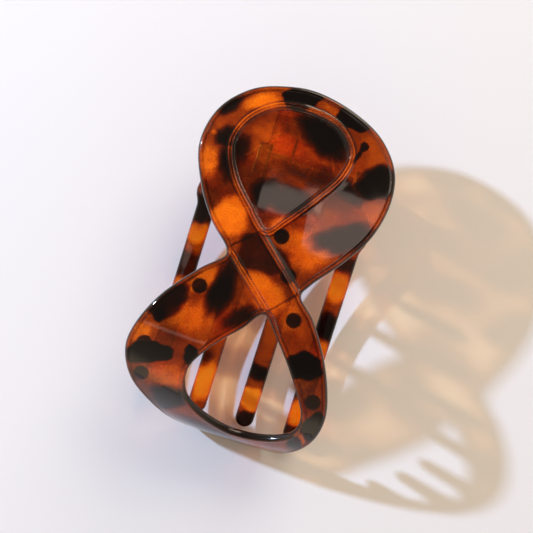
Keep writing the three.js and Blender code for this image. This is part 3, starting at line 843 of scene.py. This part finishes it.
def comb_distance(at):
    """The comb's outline laid flat: four round-ended tines, the body and the pad, run together with
    filled corners."""
    reach = along_at(on_comb, COMB_SIDE, 0, TINE_TIP_Y)
    root = along_at(on_comb, COMB_SIDE, 0, TINE_ROOT_Y)
    back = along_at(on_comb, COMB_SIDE, 0, COMB_BACK_Y)
    half = TINE_WIDTH / 2
    outer = (TINES - 1) / 2 * TINE_PITCH + half
    right_side = [(outer, root), (outer + 0.6, root + 5), (outer - 4, root + 11)]
    right_side += [(14, back - 4), (10, back + 1.5)]
    left_side = [(-x, y) for x, y in right_side[::-1]]
    body_points = left_side[-1:] + right_side + left_side[:-1]
    body = spline(np.asarray(body_points) + (COMB_MIDDLE_X, 0), 200, True)
    distance = loop_distance(at, np.stack([body[:, 0], body[:, 1].clip(root - 0.5)], 1))
    pad_middle = (COMB_MIDDLE_X, back + (PAD_LENGTH - 1) / 2)
    pad = box_distance(at, pad_middle, (PAD_HALF_WIDTH, (PAD_LENGTH + 1) / 2), PAD_CORNER)
    distance = blend_max(distance, pad, PAD_FILLET)
    for number in range(TINES):
        x = COMB_MIDDLE_X + (number - (TINES - 1) / 2) * TINE_PITCH
        middle = (reach + root + 2) / 2
        tine = box_distance(at, (x, middle), (half, (root + 2 - reach) / 2), half)
        distance = blend_max(distance, tine, TINE_FILLET)
    return distance


class MESH_OT_claw_clip_comb(bpy.types.Operator):
    """Moulds the lower jaw: four tines, the body that carries them and the thumb pad"""

    bl_idname = "mesh.claw_clip_comb"
    bl_label = "Comb moulding"

    def execute(self, context):
        cell = sizes_mm()[2]
        back = along_at(on_comb, COMB_SIDE, 0, COMB_BACK_Y)

        def top(at):
            """A shallow crown on the tines, and three grip ribs across the pad."""
            d = comb_distance(at)
            pad = smooth(at[:, 1], back + 3, back + 5) * smooth(d, 1.5, 2.5)
            ribs = 0.5 + 0.5 * np.cos(at[:, 1] * 2 * math.pi / RIB_PITCH)
            return -crown(d) - RIB_DEPTH * pad * ribs

        def bottom(at):
            return crown(comb_distance(at)) - COMB_THICK

        def crown(d):
            """How far each face falls away towards the edge."""
            depth, reach = COMB_CROWN
            return depth * np.exp(-d.clip(0) / reach)

        box = ((-26, 27), (0, back + PAD_LENGTH + 2))
        vertices, faces, plan = skin(comb_distance, on_comb, box, cell, COMB_SWELL, top, bottom)
        vertices[:, 2] = vertices[:, 2].clip(0)
        marks = {
            "dark": patches(vertices, COMB_DARK),
            "bright": patches(vertices, COMB_AMBER_AND_LIT),
            # Painted shade: the comb is drawn darker along its edges, where the plastic is seen edge-on.
            "wall": 0.7 * line(comb_distance(plan).clip(0), 0, 0.5),
        }
        comb = mesh_object("comb_moulding", vertices, faces, marks)
        finish_piece(
            comb,
            tortoiseshell("acetate_comb", 0.31, -0.05),
            "comb_jaw",
            "comb_plastic",
            "comb_body",
            "thumb_pad",
            *(f"comb_tine_{number}" for number in range(1, TINES + 1)),
        )
        return {"FINISHED"}


class MESH_OT_claw_clip_pegs(bpy.types.Operator):
    """Turns the tapered grip pegs and stands them on the shell's inner face"""

    bl_idname = "mesh.claw_clip_pegs"
    bl_label = "Grip pegs"

    def execute(self, context):
        material = tortoiseshell("acetate_pegs", 0.0)
        for number, (x, y) in enumerate(peg_places(), 1):
            node = f"grip_peg_{number:02d}"
            tip_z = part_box(node)[0].z / MM
            vertices, faces = self.peg(x, y, tip_z)
            depth = np.full(len(vertices), PEG_DEPTH[number - 1])
            peg = mesh_object(f"moulded_peg_{number:02d}", vertices, faces, {"dark": depth})
            finish_piece(peg, material, "shell_jaw", "shell_plastic", node)
        return {"FINISHED"}

    def peg(self, x, y, tip_z):
        """A round profile turned about an upright line: a dome at the tip, a slow taper, a flare at the
        root, with each line of the taper run up to the shell's inner face."""
        around = np.linspace(0, 2 * math.pi, 28, endpoint=False)
        # From 0 to 1 over the dome, and on to last at the root.
        last = 8
        t = np.concatenate([1 - np.cos(np.linspace(0.05, math.pi / 2, 8)), np.linspace(1.4, last, 14)])
        dome = np.sqrt((1 - (1 - t.clip(0, 1)) ** 2).clip(0))
        share = (t / last)[:, None]
        flare = PEG_FLARE * np.exp(-(1 - share) * last / 0.5)
        radius = (PEG_TIP_R + PEG_TAPER * share) * dome[:, None] + flare
        px = x + radius * np.cos(around)
        py = y + radius * np.sin(around)
        inner = along_at(on_shell, SHELL_SIDE, px, py, -SHELL_THICK)
        roof = on_shell(px, inner, -SHELL_THICK)[..., 2] + PEG_ROOT_LAP
        roof = np.maximum(roof, tip_z + PEG_LEAST_HEIGHT)
        shaft = ((t - 1).clip(0) / (last - 1))[:, None]
        pz = tip_z + PEG_DOME * t.clip(0, 1)[:, None] + (roof - tip_z - PEG_DOME) * shaft
        rings = np.stack([px + SHIFT_X, py, pz], -1).reshape(-1, 3)
        tip = [[x + SHIFT_X, y, tip_z]]
        root = [[x + SHIFT_X, y, pz[-1].mean()]]
        count = len(around)
        ring = np.arange(count)
        upper = ring + len(rings) - count
        low = np.stack([np.roll(ring, -1), ring, np.full(count, len(rings))], 1)
        high = np.stack([upper, np.roll(upper, -1), np.full(count, len(rings) + 1)], 1)
        faces = [grid_faces(len(t), count, True), low, high]
        return np.concatenate([rings, tip, root]), faces


class MESH_OT_claw_clip_lugs(bpy.types.Operator):
    """Moulds the four hinge lugs with their round ends and pin holes"""

    bl_idname = "mesh.claw_clip_lugs"
    bl_label = "Hinge lugs"

    def execute(self, context):
        shell_material = tortoiseshell("acetate_shell_lugs", 0.12)
        comb_material = tortoiseshell("acetate_comb_lugs", 0.45)
        for side, deep in (("left", PANEL_LOW), ("right", -SHELL_THICK)):
            lug = self.lug(f"shell_hinge_lug_{side}", SHELL_LUG_R, 1, deep)
            finish_piece(lug, shell_material, "shell_jaw", "shell_plastic", f"shell_hinge_lug_{side}")
            lug = self.lug(f"comb_hinge_lug_{side}", COMB_LUG_R, -1, 0)
            finish_piece(lug, comb_material, "comb_jaw", "comb_plastic", f"comb_hinge_lug_{side}")
        return {"FINISHED"}

    def lug(self, node, radius, direction, deep):
        """A plate round the pin: the points within a radius of an upright line from the pin, widening
        away from it, less the pin's hole, and cut off where the jaw's face begins."""
        low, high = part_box(node)
        middle_x = (low.x + high.x) / 2 / MM
        half = (high.x - low.x) / 2 / MM
        y = np.linspace(HINGE_Y - 8, HINGE_Y + 8, 60)
        x = np.full(60, middle_x - SHIFT_X)
        if direction > 0:
            inner = along_at(on_shell, SHELL_SIDE, x, y, deep)
            face = on_shell(x, inner, deep)[:, 2] + LUG_LAP
        else:
            inner = along_at(on_comb, COMB_SIDE, x, y)
            face = on_comb(x, inner, 0)[:, 2] - LUG_LAP

        def distance(at):
            off = at - (HINGE_Y, HINGE_Z)
            away = (off[:, 1] * direction).clip(0)
            flare = 0.12 * (away - 4).clip(0) ** 1.3
            round_end = radius + flare - np.hypot(off[:, 0], np.minimum(off[:, 1] * direction, 0))
            cut = (np.interp(at[:, 0], y, face) - at[:, 1]) * direction
            hole = np.hypot(off[:, 0], off[:, 1]) - PIN_HOLE_R
            return np.minimum(np.minimum(round_end, cut + 2 * LUG_LAP), hole)

        def place(u, v, height):
            return np.stack([middle_x + height, u, v], -1)

        box = ((HINGE_Y - 7, HINGE_Y + 7), (HINGE_Z - 12, HINGE_Z + 12))
        both = (lambda at: np.full(len(at), half), lambda at: np.full(len(at), -half))
        vertices, faces, plan = skin(distance, place, box, LUG_CELL, LUG_SWELL, *both, steps=6)
        on_side = smooth(np.abs(vertices[:, 0] - middle_x) / half, 0.5, 0.9)
        marks = {
            "dark": np.full(len(vertices), 0.1),
            # Painted shade: the lug is drawn darker along the edges of its sides, where the plastic is seen
            # edge-on.
            "wall": line(distance(plan).clip(0), 0, 0.4) * on_side,
        }
        return mesh_object(f"moulded_{node}", vertices, faces, marks)


class MESH_OT_claw_clip_pin(bpy.types.Operator):
    """Turns the hinge pin with its domed ends"""

    bl_idname = "mesh.claw_clip_pin"
    bl_label = "Hinge pin"

    def execute(self, context):
        low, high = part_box("hinge_pin")
        radius = (high.z - low.z) / 2 / MM
        start, end = low.x / MM, high.x / MM
        inset = 1 - np.sin(np.linspace(0.05, math.pi / 2, 8))
        x = np.concatenate([start + PIN_DOME * inset, end - PIN_DOME * inset[::-1]])
        r = radius * (1 - 0.35 * np.concatenate([inset, inset[::-1]]))[:, None]
        count = 32
        around = np.linspace(0, 2 * math.pi, count, endpoint=False)
        along = np.repeat(x[:, None], count, 1)
        rings = np.stack([along, HINGE_Y + r * np.cos(around), HINGE_Z + r * np.sin(around)], -1)
        rings = rings.reshape(-1, 3)
        first = np.arange(count)[None]
        last = first[:, ::-1] + len(rings) - count
        pin = mesh_object("turned_pin", rings, [grid_faces(len(x), count, True)[:, ::-1], first, last])
        steel = drawn_steel("bright_pin_steel", "#D8D5D0", 0.16, 0.6)
        finish_piece(pin, steel, "shell_jaw", "pin_steel", "hinge_pin")
        return {"FINISHED"}


class MESH_OT_claw_clip_spring(bpy.types.Operator):
    """Winds the torsion spring and leads one leg to each jaw"""

    bl_idname = "mesh.claw_clip_spring"
    bl_label = "Torsion spring"

    def execute(self, context):
        path = self.path()
        slope = np.gradient(path, axis=0)
        slope /= np.linalg.norm(slope, axis=1)[:, None]
        side = np.array((1.0, 0, 0)) - slope[:, :1] * slope
        side /= np.linalg.norm(side, axis=1)[:, None]
        other = np.cross(slope, side)
        count = 12
        around = np.linspace(0, 2 * math.pi, count, endpoint=False)[None, :, None]
        radius = np.full(len(path), WIRE_R)
        radius[[0, -1]] = WIRE_R * 0.6
        ring = side[:, None] * np.cos(around) + other[:, None] * np.sin(around)
        rings = (path[:, None] + radius[:, None, None] * ring).reshape(-1, 3)
        first = np.arange(count)[::-1][None]
        last = (len(rings) - count + np.arange(count))[None]
        spring = mesh_object("wound_spring", rings, [grid_faces(len(path), count, True), first, last])
        steel = drawn_steel("plated_spring_wire", "#F8F4EE", 0.2, 0.35)
        finish_piece(spring, steel, None, "spring_steel", "torsion_spring")
        start, end = (
            Vector((x + SHIFT_X + inset, HINGE_Y, HINGE_Z)) * MM for x, inset in zip(COIL_X, TWIST_INSET)
        )
        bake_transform(spring)
        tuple(start)
        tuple(end)
        return {"FINISHED"}

    def path(self):
        """A helix about the pin, run on straight at both ends: up to the shell and down to the comb."""
        first = math.radians(90 + SHELL_LEG_RISE)
        sweep = math.radians(180 - SHELL_LEG_RISE - COMB_LEG_FALL + 360 * COIL_TURNS)
        t = np.linspace(0, 1, COIL_TURNS * 36)
        angle = first + sweep * t
        coil = np.stack(
            [
                COIL_X[0] + SHIFT_X + (COIL_X[1] - COIL_X[0]) * t,
                HINGE_Y + COIL_R * np.cos(angle),
                HINGE_Z + COIL_R * np.sin(angle),
            ],
            1,
        )
        rise, fall = math.radians(SHELL_LEG_RISE), math.radians(COMB_LEG_FALL)
        out = np.linspace(0, LEG_LENGTH, 24)[1:, None]
        shell_leg = coil[0] + out[::-1] * (0, math.cos(rise), math.sin(rise))
        inward = COMB_LEG_INWARD * smooth(out, 0, 3)
        level = np.ones_like(out)
        way = np.hstack([-inward, level * math.cos(fall), level * -math.sin(fall)])
        comb_leg = coil[-1] + COMB_LEG_STRETCH * out * way
        return np.concatenate([shell_leg, coil, comb_leg])


# ---- Stage, in metres ----
FLOOR_HALF = 3.0
CAMERA_TURN = 17.5
CAMERA_PLACE = (0.0013, 0.0002, 0.641)
KEY_RISE = 29
# Name, place, width and length, watts and colour. The window fills the shadows; the two soft boxes and
# the strip are low in power, and are there for the pale shapes that they leave on the polished faces.
SOFT_LAMPS = (
    ("window", (0.25, 1.12, 0.77), (0.8, 0.8), 11.5, "#FFECD0"),
    ("soft_box", (0.31, 0.231, 0.9), (0.46, 0.078), 0.23, "#FFE4D4"),
    ("soft_box_end", (0.02, 0.2425, 0.9), (0.24, 0.029), 0.045, "#FFE4D4"),
    ("strip", (-0.25, -0.34, 0.9), (0.35, 0.045), 0.05, "#FFE4D4"),
)
# The room is bright near the floor and dark overhead, so that the faces that look up stay clear.
ROOM_COLOUR = "#FFECD0"
ROOM_SHADES = ((0.3, 1), (0.5, 0.4), (0.85, 0.22), (0.93, 0.1))


class SCENE_OT_claw_clip_stage(bpy.types.Operator):
    """Lays the pale floor, sets the lights and looks straight down on the clip"""

    bl_idname = "scene.claw_clip_stage"
    bl_label = "Stage"

    def execute(self, context):
        scene = context.scene
        corners = np.array([(-1, -1, 0), (1, -1, 0), (1, 1, 0), (-1, 1, 0)]) * FLOOR_HALF / MM
        floor = mesh_object("floor", corners, [np.array([[0, 1, 2, 3]])])
        floor.data.materials.append(painted_board("matt_board", scene.claw_clip_colours.floor))
        turn = math.radians(CAMERA_TURN)
        camera = bpy.data.objects.new("camera", bpy.data.cameras.new("camera"))
        camera.data.lens = 150
        camera.location = CAMERA_PLACE
        camera.rotation_euler = (0, 0, turn)
        scene.collection.objects.link(camera)
        scene.camera = camera
        right = Vector((math.cos(turn), math.sin(turn), 0))
        up = Vector((-math.sin(turn), math.cos(turn), 0))
        rise = math.radians(KEY_RISE)
        to_key = (-0.87 * right + 0.49 * up) * math.cos(rise) + Vector((0, 0, math.sin(rise)))
        self.lamp("key", to_key * 1.2, (0.05, 0.05), 15.6, "#C7DEFF")
        for name, place, size, power, colour in SOFT_LAMPS:
            self.lamp(name, Vector(place), size, power, colour)
        world = scene.world or bpy.data.worlds.new("world")
        scene.world = world
        world.use_nodes = True
        tree = world.node_tree
        tree.nodes.clear()
        along = add(tree, "ShaderNodeTexCoord").outputs["Generated"]
        height = add(tree, "ShaderNodeSeparateXYZ", Vector=along).outputs["Z"]
        pale = linear(ROOM_COLOUR)[:3]
        shades = [(position, [share * c for c in pale] + [1]) for position, share in ROOM_SHADES]
        glow = add(tree, "ShaderNodeValToRGB", stops=shades, Fac=height).outputs["Color"]
        light = add(tree, "ShaderNodeBackground", Color=glow, Strength=1.1)
        add(tree, "ShaderNodeOutputWorld", Surface=light.outputs[0])
        scene.view_settings.view_transform = "Standard"
        return {"FINISHED"}

    def lamp(self, name, place, size, power, colour):
        """A rectangular lamp that faces the clip, with its first side square to the clip's length."""
        light = bpy.data.lights.new(name, "AREA")
        light.shape = "RECTANGLE"
        light.size, light.size_y = size
        light.energy = power
        light.color = linear(colour)[:3]
        thing = bpy.data.objects.new(name, light)
        thing.location = place
        back = place.normalized()
        across = back.cross((0, 1, 0)) * -1
        across.normalize()
        thing.rotation_euler = Matrix((across, back.cross(across), back)).transposed().to_euler()
        bpy.context.scene.collection.objects.link(thing)


class VIEW3D_PT_claw_clip(bpy.types.Panel):
    """Lists the clip's settings and the pieces that can be made"""

    bl_idname = "VIEW3D_PT_claw_clip"
    bl_label = "Claw clip"
    bl_space_type = "VIEW_3D"
    bl_region_type = "UI"
    bl_category = "Claw clip"

    def draw(self, context):
        for settings in (context.scene.claw_clip_sizes, context.scene.claw_clip_colours):
            for key in settings.__annotations__:
                self.layout.prop(settings, key)
        for operator in OPERATORS:
            self.layout.operator(operator.bl_idname)


OPERATORS = (
    MESH_OT_claw_clip_shell,
    MESH_OT_claw_clip_comb,
    MESH_OT_claw_clip_pegs,
    MESH_OT_claw_clip_lugs,
    MESH_OT_claw_clip_pin,
    MESH_OT_claw_clip_spring,
    SCENE_OT_claw_clip_stage,
)
CLASSES = (ClawClipSizes, ClawClipColours, *OPERATORS, VIEW3D_PT_claw_clip)


def register():
    for cls in CLASSES:
        bpy.utils.register_class(cls)
    bpy.types.Scene.claw_clip_sizes = bpy.props.PointerProperty(type=ClawClipSizes)
    bpy.types.Scene.claw_clip_colours = bpy.props.PointerProperty(type=ClawClipColours)


def unregister():
    del bpy.types.Scene.claw_clip_colours
    del bpy.types.Scene.claw_clip_sizes
    for cls in reversed(CLASSES):
        bpy.utils.unregister_class(cls)


def main():
    register()
    bpy.ops.mesh.claw_clip_shell()
    bpy.ops.mesh.claw_clip_comb()
    bpy.ops.mesh.claw_clip_pegs()
    bpy.ops.mesh.claw_clip_lugs()
    bpy.ops.mesh.claw_clip_pin()
    bpy.ops.mesh.claw_clip_spring()
    bpy.ops.scene.claw_clip_stage()


if __name__ == "__main__":
    main()
